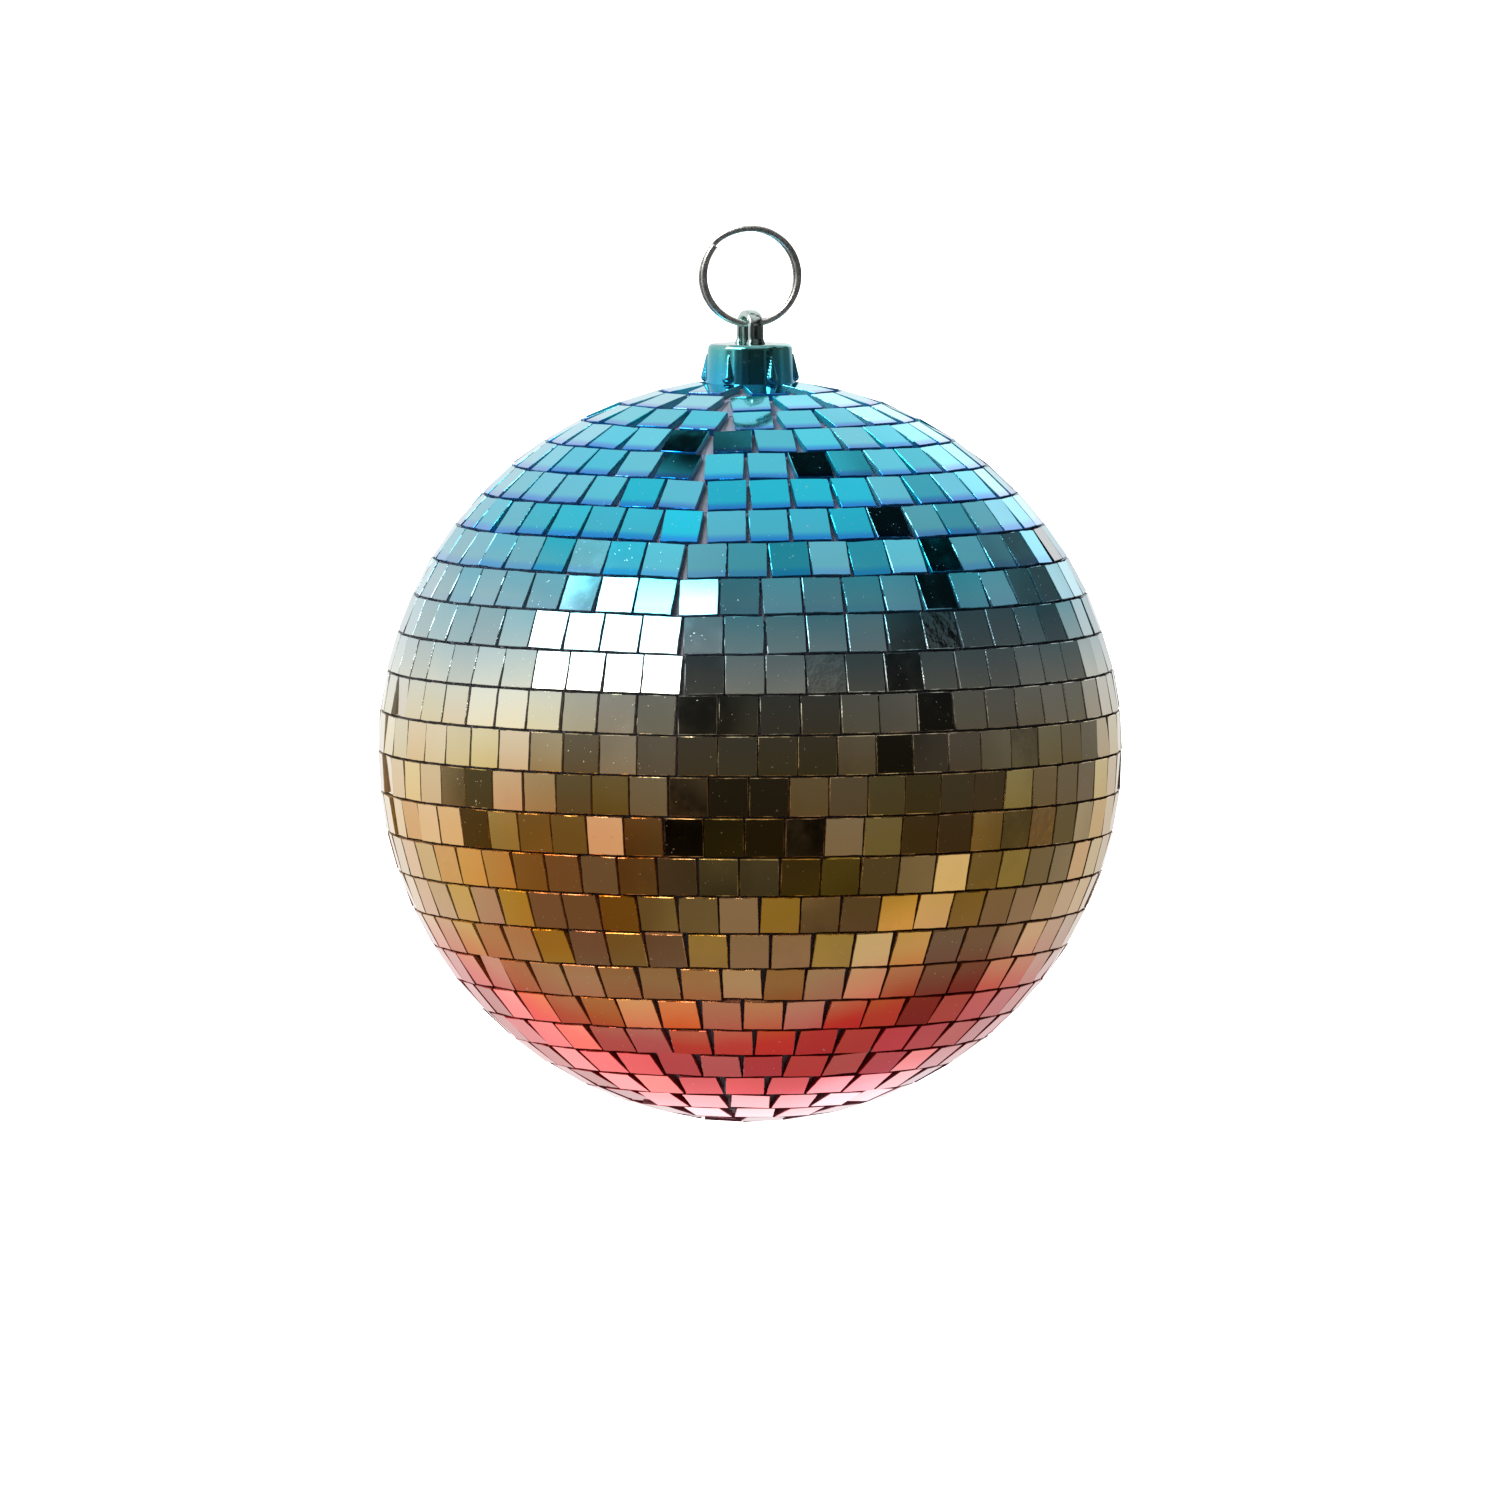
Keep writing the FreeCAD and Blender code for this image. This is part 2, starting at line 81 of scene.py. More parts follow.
CAP_EDGE_ROUNDING = 1.0 * MM
FOOT_ROUNDING = 0.35 * MM
RIB_COUNT = 6
RIB_FOOT_RADIUS = 1.5 * MM
RIB_TIP_RADIUS = 0.1 * MM
RIB_STANDS_OUT = 1.1 * MM
RIB_LINE_RADIUS = CAP_FOOT_RADIUS + RIB_STANDS_OUT - RIB_FOOT_RADIUS
RIB_START_BELOW_TOP = 2.2 * MM
RIB_FOOT_ABOVE_RIM = 0.95 * MM
RIB_FOOT_ROUNDING = 1.2 * MM

ring_low, ring_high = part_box("split_ring")
RING_RADIUS = (ring_high.z - ring_low.z) / 2
RING_CENTRE = Vector((0, 0, (ring_low.z + ring_high.z) / 2))
RING_WIRE_WIDTH = 1.3 * MM
RING_TURN_THICKNESS = 0.7 * MM
RING_TURN_GAP = 0.06 * MM
RING_TURN_SHIFT = 0.45 * MM
RING_YAW = math.radians(9)
RING_SQUARENESS = 2.2
RING_SECTION_POINTS = 20
NIPPED_END = 0.8              # the share of its width that the wire keeps at its cut ends
# Degrees round the ring from its right-hand side, through the front turn and then the back one
WIRE_START = 140
CROSSOVER_START = 84 + 360
CROSSOVER_END = 132 + 360
WIRE_END = 80 + 720

# ---------------------------------------------------------------- tile shape
WELD = 0.001 * MM
FACE_CELLS = 5                # the silvered face is a grid of this many cells a side
BEND = 0.02 * MM              # how far a face bows out of flat
FACE_TILT = 0.016             # the silvered face leans this much, as a slope, off the tile's back
BAD_TILT = 0.07               # and this much on a tile that was pressed down badly
BADLY_BEDDED = 0.07           # the share of such tiles
CUT_WIDTH = (0.05 * MM, 0.17 * MM)
CUT_DEPTH = (0.05 * MM, 0.16 * MM)
OUTLINE_WANDER = 0.03 * MM    # a scored and snapped edge isn't straight
FOOT_WANDER = 0.12 * MM
CORNER_LOSS = 0.05 * MM
CHIPPED_CORNERS = 0.04
CHIP = 0.4 * MM
TONES = (0.82, 1.0)           # how much light a good tile sends back
PAINTED_DARK_REFLECTION_TONES = (0.03, 0.12)     # and one painted dark: a painted reflection of the dark room round the camera
PAINTED_DARK_REFLECTION_SHARE = 0.003            # the share of such tiles
HUE_SPREAD = 0.015            # how far a tile's hue strays, mostly towards yellow
MOST_HUE = 0.024
HUE_BACK = 0.005
STRENGTHS = (0.9, 1.15)       # how strong a tile's tint is
SMEARED_TILES = 0.06
CRINKLED_TILES = 0.02
CRINKLES = (0.3, 0.8)


# ================================================================ node helpers
def feed(tree, socket, value):
    """Give a socket a number or colour, or join another node's output to it."""
    if isinstance(value, bpy.types.NodeSocket):
        tree.links.new(value, socket)
    else:
        socket.default_value = value


def calculate(tree, operation, *values):
    """The result of a sum on numbers or sockets."""
    node = tree.nodes.new("ShaderNodeMath")
    node.operation = operation
    for socket, value in zip(node.inputs, values):
        feed(tree, socket, value)
    return node.outputs[0]


def product(tree, first, *others):
    """Several numbers or sockets multiplied together."""
    result = first
    for value in others:
        result = calculate(tree, "MULTIPLY", result, value)
    return result


def reach_along(tree, vector, axis):
    """How far a vector reaches along a fixed axis."""
    node = tree.nodes.new("ShaderNodeVectorMath")
    node.operation = "DOT_PRODUCT"
    feed(tree, node.inputs[0], vector)
    feed(tree, node.inputs[1], tuple(axis))
    return node.outputs["Value"]


def fade(tree, value, start, end, low=0.0, high=1.0):
    """A smooth change from low to high as the value goes from start to end."""
    node = tree.nodes.new("ShaderNodeMapRange")
    node.interpolation_type = "SMOOTHSTEP"
    for name, number in (("From Min", start), ("From Max", end), ("To Min", low), ("To Max", high)):
        node.inputs[name].default_value = number
    feed(tree, node.inputs["Value"], value)
    return node.outputs["Result"]


def blend_number(tree, share, first, second):
    """The first number where the share is 0 and the second where it is 1."""
    node = tree.nodes.new("ShaderNodeMix")
    feed(tree, node.inputs["Factor"], share)
    feed(tree, node.inputs["A"], first)
    feed(tree, node.inputs["B"], second)
    return node.outputs["Result"]


def blend_colour(tree, share, first, second, how="MIX"):
    """The first colour, with the second mixed or multiplied in by the share."""
    node = tree.nodes.new("ShaderNodeMix")
    node.data_type = "RGBA"
    node.blend_type = how
    factor, first_colour, second_colour = (node.inputs[index] for index in (0, 6, 7))
    feed(tree, factor, share)
    feed(tree, first_colour, first)
    feed(tree, second_colour, second)
    return node.outputs[2]


def noise(tree, place, scale, detail=2.0, roughness=0.5):
    """Soft random patches; the scale is in patches per metre."""
    node = tree.nodes.new("ShaderNodeTexNoise")
    node.inputs["Scale"].default_value = scale
    node.inputs["Detail"].default_value = detail
    node.inputs["Roughness"].default_value = roughness
    tree.links.new(place, node.inputs["Vector"])
    return node.outputs["Fac"]


def attribute(tree, name, output="Fac"):
    """What the mesh stores under a name."""
    node = tree.nodes.new("ShaderNodeAttribute")
    node.attribute_name = name
    return node.outputs[output]


def object_place(tree):
    """A surface point's place in its own piece, which is its place in the frame at rest."""
    return tree.nodes.new("ShaderNodeTexCoord").outputs["Object"]


def separate(tree, vector):
    """The X, Y and Z of a vector."""
    node = tree.nodes.new("ShaderNodeSeparateXYZ")
    tree.links.new(vector, node.inputs[0])
    return node.outputs


def colour_ramp(tree, value, stops):
    """A ramp through (position, colour) stops."""
    node = tree.nodes.new("ShaderNodeValToRGB")
    elements = node.color_ramp.elements
    while len(elements) < len(stops):
        elements.new(0.5)
    for element, (position, colour) in zip(elements, stops):
        element.position = position
        element.color = colour
    tree.links.new(value, node.inputs["Fac"])
    return node.outputs["Color"]


def bump(tree, shader, height, distance):
    """Fine relief: a height of 1 stands out by the distance."""
    node = tree.nodes.new("ShaderNodeBump")
    node.inputs["Distance"].default_value = distance
    tree.links.new(height, node.inputs["Height"])
    tree.links.new(node.outputs["Normal"], shader.inputs["Normal"])


def paint(red, green, blue):
    """A colour as a person names it on a screen, turned into light."""
    def light(value):
        if value <= 0.04045:
            return value / 12.92
        return ((value + 0.055) / 1.055) ** 2.4
    return (light(red), light(green), light(blue), 1.0)


def new_material(name):
    """A fresh material, its node tree and its shader."""
    material = bpy.data.materials.new(name)
    material.use_nodes = True
    tree = material.node_tree
    return material, tree, tree.nodes["Principled BSDF"]


def height_share(tree, place):
    """0 at the top of the ball and 1 at the bottom."""
    height = separate(tree, place)["Z"]
    top = BALL_CENTRE.z + BALL_RADIUS
    fallen = calculate(tree, "SUBTRACT", top, height)
    return calculate(tree, "DIVIDE", fallen, 2 * BALL_RADIUS)


def share_at(polar_degrees):
    """The height share of a place at a polar angle."""
    return (1 - math.cos(math.radians(polar_degrees))) / 2


# ================================================================ mirror finish
# What was sprayed at each polar angle, from the cap down
SPRAYED_TINTS = [
    (0, paint(0.32, 0.83, 0.91)),
    (44, paint(0.28, 0.79, 0.89)),
    (57, paint(0.31, 0.73, 0.81)),
    (65, paint(0.44, 0.70, 0.76)),
    (72, paint(0.66, 0.76, 0.77)),
    (78, paint(0.84, 0.84, 0.77)),
    (84, paint(0.88, 0.81, 0.67)),
    (90, paint(0.87, 0.75, 0.54)),
    (99, paint(0.87, 0.68, 0.41)),
    (112, paint(0.86, 0.66, 0.36)),
    (124, paint(0.87, 0.64, 0.41)),
    (131, paint(0.89, 0.50, 0.34)),
    (137, paint(0.90, 0.22, 0.15)),
    (144, paint(0.88, 0.06, 0.07)),
    (151, paint(0.90, 0.19, 0.23)),
    (158, paint(0.93, 0.41, 0.47)),
    (167, paint(0.96, 0.58, 0.65)),
    (180, paint(0.99, 0.70, 0.76)),
]
COPPER = paint(0.86, 0.48, 0.22)
POOLED_BLUE = paint(0.10, 0.54, 0.86)
RAW_GLASS = paint(0.70, 0.68, 0.72)
OLD_GLUE = paint(0.10, 0.16, 0.20)
DUST = paint(0.85, 0.85, 0.83)


def band_place(tree, place, share):
    """The height share that a point takes its tint from: the bands wander from side to side."""
    sideways = separate(tree, place)["X"]
    right = fade(tree, sideways, 0.0, 0.5 * BALL_RADIUS, 0.0, 0.055)
    left = fade(tree, sideways, -0.35 * BALL_RADIUS, -0.85 * BALL_RADIUS, 0.0, 0.08)
    red_raised = calculate(tree, "ADD", left, right)
    blue_cut_short = fade(tree, sideways, -0.2 * BALL_RADIUS, -0.7 * BALL_RADIUS, 0.0, 0.05)
    lower_half = fade(tree, share, 0.6, 0.75)
    upper_half = fade(tree, share, 0.4, 0.2)
    wander = 0.015
    uneven = calculate(tree, "MULTIPLY_ADD", noise(tree, place, 60.0), 2 * wander, -wander)
    uneven = calculate(tree, "MULTIPLY_ADD", lower_half, red_raised, uneven)
    uneven = calculate(tree, "MULTIPLY_ADD", upper_half, blue_cut_short, uneven)
    return calculate(tree, "ADD", share, uneven)


def copper_share(tree, place, share):
    """How far the gold has turned to copper, in a patch to the left of the middle."""
    sideways = separate(tree, place)["X"]
    below_middle = fade(tree, share, share_at(84), share_at(100))
    above_red = fade(tree, share, share_at(125), share_at(116))
    inner_side = fade(tree, sideways, -0.1 * BALL_RADIUS, -0.4 * BALL_RADIUS)
    outer_side = fade(tree, sideways, -0.8 * BALL_RADIUS, -0.55 * BALL_RADIUS)
    most = 0.6
    return product(tree, below_middle, above_red, inner_side, outer_side, most)


def sprayed_tint(tree, place, share, band):
    """The tint as sprayed, lying thicker along the lower edge of each blue tile."""
    stops = [(share_at(angle), colour) for angle, colour in SPRAYED_TINTS]
    tint = colour_ramp(tree, band, stops)
    tint = blend_colour(tree, copper_share(tree, place, share), tint, COPPER)
    up_the_tile = separate(tree, attribute(tree, "place", "Vector"))["Y"]
    pooled = fade(tree, up_the_tile, -0.4, -0.95)
    in_blue = fade(tree, share, share_at(68), share_at(48))
    return blend_colour(tree, product(tree, pooled, in_blue), tint, POOLED_BLUE)


def vary_by_tile(tree, share, band, tint):
    """No two tiles came out of the spray alike, least of all in the gold."""
    below_blue = fade(tree, share, share_at(60), share_at(85), 0.3, 1.0)
    above_red = fade(tree, band, share_at(134), share_at(124), 0.3, 1.0)
    hue_spread = product(tree, below_blue, above_red)
    same_hue = 0.5
    hue = calculate(tree, "MULTIPLY_ADD", attribute(tree, "hue"), hue_spread, same_hue)
    node = tree.nodes.new("ShaderNodeHueSaturation")
    feed(tree, node.inputs["Hue"], hue)
    feed(tree, node.inputs["Saturation"], attribute(tree, "strength"))
    feed(tree, node.inputs["Value"], attribute(tree, "tone"))
    feed(tree, node.inputs["Color"], tint)
    return node.outputs["Color"]


def colour_edges(tree, share, crushed, tint):
    """The glass off the face: full of colour along the crushed cut, and darker at the sides."""
    richness = fade(tree, share, share_at(70), share_at(95), 0.0, 0.7)
    full = blend_colour(tree, richness, tint, tint, "MULTIPLY")
    crumbs = fade(tree, crushed, 0.4, 0.6, 0.3, 1.0)
    tint = blend_colour(tree, product(tree, attribute(tree, "cut"), crumbs), tint, full)
    dark = blend_colour(tree, 1.0, tint, RAW_GLASS, "MULTIPLY")
    return blend_colour(tree, attribute(tree, "side"), tint, dark)


def ombre_mirror():
    """Silvered glass with a sprayed tint: blue, silver, gold, red and pink from the cap down."""
    material, tree, shader = new_material("ombre_mirror")
    place = object_place(tree)
    share = height_share(tree, place)
    crushed = noise(tree, place, 2600.0, 1.0)
    band = band_place(tree, place, share)
    tint = sprayed_tint(tree, place, share, band)
    tint = vary_by_tile(tree, share, band, tint)
    tint = colour_edges(tree, share, crushed, tint)

    # dust, and smears of glue left by a finger
    dust = fade(tree, noise(tree, place, 1500.0, 1.0), 0.74, 0.78)
    smears = noise(tree, place, 170.0, 4.0, 0.6)
    glue = product(tree, fade(tree, smears, 0.76, 0.79), attribute(tree, "smeared"))
    tint = blend_colour(tree, product(tree, glue, 0.85), tint, OLD_GLUE)
    tint = blend_colour(tree, product(tree, dust, 0.35), tint, DUST)
    tree.links.new(tint, shader.inputs["Base Color"])

    # the face is a clean mirror, and the cut and the raw sides are rougher
    cut = attribute(tree, "cut")
    side = attribute(tree, "side")
    rough = fade(tree, smears, 0.35, 0.75, 0.03, 0.09)
    rough = calculate(tree, "MULTIPLY_ADD", calculate(tree, "MAXIMUM", dust, glue), 0.35, rough)
    rough = calculate(tree, "MULTIPLY_ADD", cut, 0.22, rough)
    rough = calculate(tree, "MULTIPLY_ADD", side, 0.35, rough)
    tree.links.new(rough, shader.inputs["Roughness"])
    tree.links.new(calculate(tree, "MULTIPLY_ADD", side, -0.9, 1.0), shader.inputs["Metallic"])
    shader.inputs["Coat Weight"].default_value = 0.5
    shader.inputs["Coat Roughness"].default_value = 0.03

    # a crinkle in the silver of a few tiles, and broken glass off the face
    crinkle = product(tree, noise(tree, place, 420.0, 3.0), attribute(tree, "crinkled"))
    broken = product(tree, crushed, calculate(tree, "MAXIMUM", cut, side))
    height = calculate(tree, "MULTIPLY_ADD", broken, 0.5, crinkle)
    bump(tree, shader, height, 0.12 * MM)
    return material


# ================================================================ other materials
def woven_backing():
    """Plain-woven cloth, caught by the overspray of the mirrors' colours, with painted light on it:
    paler at the top and darker lower down, where the gaps lie in shade.
    """
    material, tree, shader = new_material("woven_backing")
    place = object_place(tree)
    share = height_share(tree, place)
    x, y, z = separate(tree, place)
    # the threads run round the ball and down it, and cross over and under
    thread = 0.45 * MM
    turn = calculate(tree, "ARCTAN2", y, x)
    round_phase = calculate(tree, "MULTIPLY", turn, round(math.pi * BALL_RADIUS / thread))
    rise = calculate(tree, "SUBTRACT", z, BALL_CENTRE.z)
    cosine = calculate(tree, "DIVIDE", rise, CORE_RADIUS)
    polar = calculate(tree, "ARCCOSINE", calculate(tree, "MINIMUM", cosine, 1.0))
    down_phase = calculate(tree, "MULTIPLY", polar, math.pi * CORE_RADIUS / thread)
    crossing = product(
        tree, calculate(tree, "SINE", round_phase), calculate(tree, "SINE", down_phase)
    )
    lift = calculate(tree, "MULTIPLY_ADD", crossing, 0.5, 0.5)
    # partly the overspray of the mirrors' colours and partly painted shade: paler and lilac at the
    # top, darker lower down
    overspray_and_painted_shade = colour_ramp(tree, share, [
        (share_at(0), paint(0.42, 0.50, 0.64)),
        (share_at(60), paint(0.40, 0.46, 0.58)),
        (share_at(75), paint(0.36, 0.34, 0.33)),
        (share_at(115), paint(0.38, 0.28, 0.20)),
        (share_at(145), paint(0.48, 0.16, 0.17)),
        (share_at(180), paint(0.52, 0.22, 0.28)),
    ])
    fuzz = noise(tree, place, 3000.0)
    grimy = fade(tree, fuzz, 0.35, 0.7, 0.0, 0.35)
    # the raised crossings are mixed towards pale lilac: a painted highlight on the crowns of the
    # threads
    colour = blend_colour(tree, product(tree, lift, 0.6), overspray_and_painted_shade, paint(0.66, 0.64, 0.72))
    colour = blend_colour(tree, grimy, colour, paint(0.12, 0.11, 0.16))
    tree.links.new(colour, shader.inputs["Base Color"])
    shader.inputs["Roughness"].default_value = 0.85
    shader.inputs["Sheen Weight"].default_value = 0.3
    bump(tree, shader, calculate(tree, "MULTIPLY_ADD", fuzz, 0.4, lift), 0.08 * MM)
    return material


def moulded_plastic():
    """The core's grey plastic, with a faint orange-peel and blotches of old glue."""
    material, tree, shader = new_material("moulded_plastic")
    place = object_place(tree)
    peel = noise(tree, place, 900.0)
    blotches = noise(tree, place, 55.0, 4.0, 0.6)
    glued = fade(tree, blotches, 0.45, 0.65)
    colour = blend_colour(tree, glued, paint(0.56, 0.57, 0.60), paint(0.44, 0.44, 0.46))
    tree.links.new(colour, shader.inputs["Base Color"])
    tree.links.new(fade(tree, blotches, 0.4, 0.7, 0.35, 0.6), shader.inputs["Roughness"])
    bump(tree, shader, peel, 0.05 * MM)
    return material


def plated_cap():
    """Blue-green chrome plating over plastic, nearly clear on the loop, and rubbed in places."""
    material, tree, shader = new_material("plated_cap")
    place = object_place(tree)
    ripple = noise(tree, place, 260.0)
    rubbed = noise(tree, place, 700.0, 4.0, 0.65)
    height = separate(tree, place)["Z"]
    risen = fade(tree, height, CAP_FOOT, LOOP_TOP)
    uneven = calculate(tree, "MULTIPLY_ADD", ripple, 0.2, risen)
    colour = colour_ramp(tree, uneven, [
        (0.0, paint(0.24, 0.66, 0.84)),
        (0.25, paint(0.24, 0.66, 0.76)),
        (0.6, paint(0.34, 0.68, 0.68)),
        (0.75, paint(0.62, 0.74, 0.72)),
        (1.0, paint(0.76, 0.82, 0.80)),
    ])
    scuffed = fade(tree, rubbed, 0.60, 0.72, 0.0, 0.5)
    colour = blend_colour(tree, scuffed, colour, paint(0.70, 0.84, 0.86))
    tree.links.new(colour, shader.inputs["Base Color"])
    shader.inputs["Metallic"].default_value = 1.0
    tree.links.new(fade(tree, rubbed, 0.35, 0.75, 0.06, 0.20), shader.inputs["Roughness"])
    bump(tree, shader, ripple, 0.03 * MM)
    return material


def ring_steel():
    """Dull nickel-plated spring wire, drawn lengthways, with dark patches in the plating."""
    material, tree, shader = new_material("ring_steel")
    place = object_place(tree)
    patches = noise(tree, place, 380.0, 4.0, 0.6)
    grain = noise(tree, place, 2400.0)
    dull = fade(tree, patches, 0.36, 0.70)
    colour = blend_colour(tree, dull, paint(0.93, 0.93, 0.91), paint(0.76, 0.75, 0.73))
    tree.links.new(colour, shader.inputs["Base Color"])
    shader.inputs["Metallic"].default_value = 1.0
    tree.links.new(fade(tree, grain, 0.3, 0.7, 0.24, 0.36), shader.inputs["Roughness"])
    bump(tree, shader, grain, 0.006 * MM)
    return material


def zinc_steel():
    """Bright zinc plating on the screw and washer, with its cloudy crystal bloom."""
    material, tree, shader = new_material("zinc_steel")
    place = object_place(tree)
    bloom = noise(tree, place, 800.0, 3.0)
    cloudy = fade(tree, bloom, 0.4, 0.6)
    colour = blend_colour(tree, cloudy, paint(0.74, 0.76, 0.78), paint(0.60, 0.62, 0.66))
    tree.links.new(colour, shader.inputs["Base Color"])
    shader.inputs["Metallic"].default_value = 1.0
    tree.links.new(fade(tree, bloom, 0.3, 0.7, 0.22, 0.4), shader.inputs["Roughness"])
    bump(tree, shader, bloom, 0.02 * MM)
    return material


# ================================================================ tiles
def tile_boxes(node):
    """The eight corners of every tile in a CAD row, one list for each tile."""
    mesh = bmesh.new()
    mesh.from_mesh(node.data)
    bmesh.ops.remove_doubles(mesh, verts=mesh.verts, dist=WELD)
    boxes = []
    seen = set()
    for start in mesh.verts:
        if start in seen:
            continue
        corners = []
        waiting = [start]
        seen.add(start)
        while waiting:
            vertex = waiting.pop()
            corners.append(vertex.co.copy())
            for edge in vertex.link_edges:
                other = edge.other_vert(vertex)
                if other not in seen:
                    seen.add(other)
                    waiting.append(other)
        boxes.append(corners)
    mesh.free()
    return boxes


class TileFrame:
    """Where one tile sits: the middle of its back, its directions and its size."""

    def __init__(self, corners):
        first = corners[0]
        # the nearest corner is across the glass, and the next two are along the tile's sides
        others = sorted(corners[1:], key=lambda corner: (corner - first).length)
        depth, one_side, other_side = [other - first for other in others[:3]]
        middle = sum(corners, Vector()) / len(corners)
        from_centre = middle - BALL_CENTRE
        self.outward = depth.normalized()
        if self.outward.dot(from_centre) < 0:
            self.outward = -self.outward
        east = UP.cross(from_centre).normalized()
        across = max((one_side, other_side), key=lambda side: abs(side.dot(east)))
        self.across = across.normalized() * math.copysign(1, across.dot(east))
        self.along = self.outward.cross(self.across)
        self.half = across.length / 2
        self.thickness = depth.length
        self.back = middle - self.outward * self.thickness / 2

    def point(self, across, along, height):
        """The place at a distance across, along and above the middle of the tile's back."""
        return self.back + self.across * across + self.along * along + self.outward * height


def rim_cells():
    """The grid places round the edge of a face, in order."""
    last = FACE_CELLS
    rim = [(column, 0) for column in range(last)]
    rim += [(last, row) for row in range(last)]
    rim += [(column, last) for column in range(last, 0, -1)]
    rim += [(0, row) for row in range(last, 0, -1)]
    return rim


RIM = rim_cells()


def cell_share(index):
    """A grid line's place across the face, from -1 to 1."""
    return 2 * index / FACE_CELLS - 1


class TileSheet:
    """Collects the vertices, faces, sharp edges and per-face notes of a row's tiles."""

    def __init__(self):
        self.vertices = []
        self.places = []
        self.faces = []
        self.kinds = []
        self.notes = []
        self.sharp = set()

    def add_vertex(self, point, place):
        """Add a point and its place on the tile; returns its number."""
        self.vertices.append(point)
        self.places.append(place)
        return len(self.vertices) - 1

    def add_face(self, corners, kind, note):
        """Add a face of the kind face, cut or side, with the note of its tile."""
        self.faces.append(corners)
        self.kinds.append(kind)
        self.notes.append(note)


def tile_note(rng):
    """What is particular to one tile: its tone, its lean to yellow, strength of tint and flaws."""
    tone = rng.uniform(*TONES)
    # a few tiles are painted nearly black: a painted reflection of the dark room round the camera
    if rng.random() < PAINTED_DARK_REFLECTION_SHARE:
        tone = rng.uniform(*PAINTED_DARK_REFLECTION_TONES)
    return {
        "tone": tone,
        "hue": min(abs(rng.gauss(0.0, HUE_SPREAD)), MOST_HUE) - HUE_BACK,
        "strength": rng.uniform(*STRENGTHS),
        "smeared": 1.0 if rng.random() < SMEARED_TILES else 0.0,
        "crinkled": rng.uniform(*CRINKLES) if rng.random() < CRINKLED_TILES else 0.0,
    }


class FaceShape:
    """How one silvered face leans and bows, kept under the height of its CAD tile."""

    def __init__(self, tile, rng):
        tilt = BAD_TILT if rng.random() < BADLY_BEDDED else FACE_TILT
        self.lean_across = rng.uniform(-tilt, tilt) * tile.half
        self.lean_along = rng.uniform(-tilt, tilt) * tile.half
        self.bow_across = rng.uniform(-BEND, BEND) / 2
        self.bow_along = rng.uniform(-BEND, BEND) / 2
        self.warp = rng.uniform(-BEND, BEND) / 2
        self.top = tile.thickness - 1.5 * BEND - abs(self.lean_across) - abs(self.lean_along)

    def height(self, across, along):
        """How far the face is above the tile's back, at a place from -1 to 1 each way."""
        lean = self.lean_across * across + self.lean_along * along
        bow = self.bow_across * across ** 2 + self.bow_along * along ** 2
        return self.top + lean + bow + self.warp * across * along


def add_face_grid(sheet, tile, shape, note, rng):
    """The silvered face, bowed a little; returns the vertices round its rim."""
    mean_cut = sum(CUT_WIDTH) / 2
    grid = {}
    for row in range(FACE_CELLS + 1):
        for column in range(FACE_CELLS + 1):
            across = cell_share(column)
            along = cell_share(row)
            inset = mean_cut
            if (column, row) in RIM:
                inset = rng.uniform(*CUT_WIDTH)
            reach = tile.half - inset
            point = tile.point(across * reach, along * reach, shape.height(across, along))
            grid[column, row] = sheet.add_vertex(point, (across, along, 1.0))
    for row in range(FACE_CELLS):
        for column in range(FACE_CELLS):
            corners = (
                grid[column, row],
                grid[column + 1, row],
                grid[column + 1, row + 1],
                grid[column, row + 1],
            )
            sheet.add_face(corners, "face", note)
    return [grid[cell] for cell in RIM]


def outline_point(tile, cell, wander, corner_loss):
    """A point on the tile's outline, pulled in where the cut wandered or a corner is lost."""
    across = cell_share(cell[0])
    along = cell_share(cell[1])
    at_corner = abs(across) == 1 and abs(along) == 1
    loss = wander + (corner_loss if at_corner else 0.0)
    reach_across = tile.half - (loss if abs(across) == 1 else 0.0)
    reach_along = tile.half - (loss if abs(along) == 1 else 0.0)
    return across * reach_across, along * reach_along


def add_rough_sides(sheet, tile, shape, rim, note, rng):
    """The cut bevel, the raw sides and the flat back."""
    upper = []
    lower = []
    for cell in RIM:
        loss = CHIP if rng.random() < CHIPPED_CORNERS else CORNER_LOSS
        across, along = outline_point(tile, cell, rng.uniform(0, OUTLINE_WANDER), loss)
        place = (cell_share(cell[0]), cell_share(cell[1]))
        height = shape.height(*place) - rng.uniform(*CUT_DEPTH)
        upper.append(sheet.add_vertex(tile.point(across, along, height), place + (1.0,)))
        across, along = outline_point(tile, cell, rng.uniform(0, FOOT_WANDER), loss)
        lower.append(sheet.add_vertex(tile.point(across, along, 0.0), place + (0.0,)))
    count = len(RIM)
    for here in range(count):
        beyond = (here + 1) % count
        sheet.sharp.add(frozenset((rim[here], rim[beyond])))
        sheet.add_face((upper[here], upper[beyond], rim[beyond], rim[here]), "cut", note)
        sheet.add_face((lower[here], lower[beyond], upper[beyond], upper[here]), "side", note)
    sheet.add_face(tuple(reversed(lower)), "side", note)


def add_tile(sheet, corners, rng):
    """One piece of glass, in the place of one CAD tile."""
    tile = TileFrame(corners)
    shape = FaceShape(tile, rng)
    note = tile_note(rng)
    rim = add_face_grid(sheet, tile, shape, note, rng)
    add_rough_sides(sheet, tile, shape, rim, note, rng)


def add_face_number(mesh, name, values):
    """Store a number on every face, for the material to read."""
    layer = mesh.attributes.new(name, "FLOAT", "FACE")
    layer.data.foreach_set("value", values)


